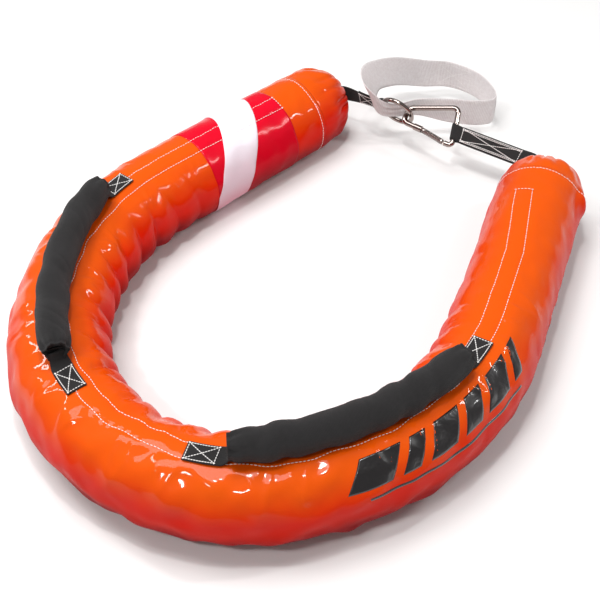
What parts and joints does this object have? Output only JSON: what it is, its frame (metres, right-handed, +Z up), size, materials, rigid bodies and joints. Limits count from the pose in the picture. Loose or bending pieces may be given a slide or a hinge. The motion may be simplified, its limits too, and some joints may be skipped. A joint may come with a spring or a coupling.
{
  "type": "ring lifebuoy",
  "caption": "Horseshoe rescue sling lifebuoy: a padded orange float with grips on its bow, and two open arms that a ring and a snap carabiner join.",
  "frame": {"origin": "on the floor under the middle of the whole object's box", "axes": "+Y from the middle of the bow to the clip that joins the arms; +Z up, the face with the grips; +X to the right arm, seen from above with the bow nearest"},
  "size_m": [0.649, 0.9146, 0.1566],
  "materials": {
    "foam": "closed-cell foam",
    "orange_fabric": "glossy coated fabric",
    "red_fabric": "glossy coated fabric",
    "white_fabric": "coated fabric",
    "black_webbing": "woven webbing",
    "black_fabric": "woven fabric",
    "white_webbing": "woven webbing",
    "polished_steel": "polished stainless steel",
    "pin_steel": "plain stainless steel",
    "spring_steel": "spring wire"
  },
  "bodies": {
    "float": {"foam_left_arm": "foam", "foam_bow": "foam", "foam_right_arm": "foam", "cover": "orange_fabric", "left_end_cap": "orange_fabric", "right_end_cap": "orange_fabric", "red_panel": "red_fabric", "white_band": "white_fabric", "load_webbing": "black_webbing", "left_grip_arm_tab": "black_webbing", "left_grip_bow_tab": "black_webbing", "right_grip_arm_tab": "black_webbing", "right_grip_bow_tab": "black_webbing"},
    "clip_chain": {"left_tail": "black_webbing", "right_tail": "black_webbing", "steel_ring": "polished_steel", "carabiner_body": "polished_steel", "gate_hinge_pin": "pin_steel", "lifting_loop": "white_webbing"},
    "gate": {"carabiner_gate": "polished_steel", "gate_latch_pin": "pin_steel", "gate_plunger": "pin_steel", "gate_spring": "spring_steel"},
    "left_handle": {"left_grip_sleeve": "black_fabric", "left_grip_core": "foam", "left_grip_webbing": "black_webbing"},
    "right_handle": {"right_grip_sleeve": "black_fabric", "right_grip_core": "foam", "right_grip_webbing": "black_webbing"}
  },
  "joints": [
    {"name": "clip_lift", "type": "hinge", "parent": "float", "child": "clip_chain", "pos_m": [0, 0.31111, 0.06], "axis": [1, 0, 0], "range_deg": [0, 70]},
    {"name": "gate_hinge", "type": "hinge", "parent": "clip_chain", "child": "gate", "pos_m": [0.011, 0.29422, 0.05025], "axis": [0, 0.5, -0.866], "range_deg": [0, 25], "stiffness_Nm_per_rad": 0.08, "springref_deg": -17.19},
    {"name": "left_grip_swing", "type": "hinge", "parent": "float", "child": "left_handle", "pos_m": [-0.26438, -0.12736, 0.1376], "axis": [-0.5124, 0.8588, 0], "range_deg": [0, 110]},
    {"name": "right_grip_swing", "type": "hinge", "parent": "float", "child": "right_handle", "pos_m": [0.26438, -0.12736, 0.1376], "axis": [-0.5124, -0.8588, 0], "range_deg": [0, 110]}
  ]
}
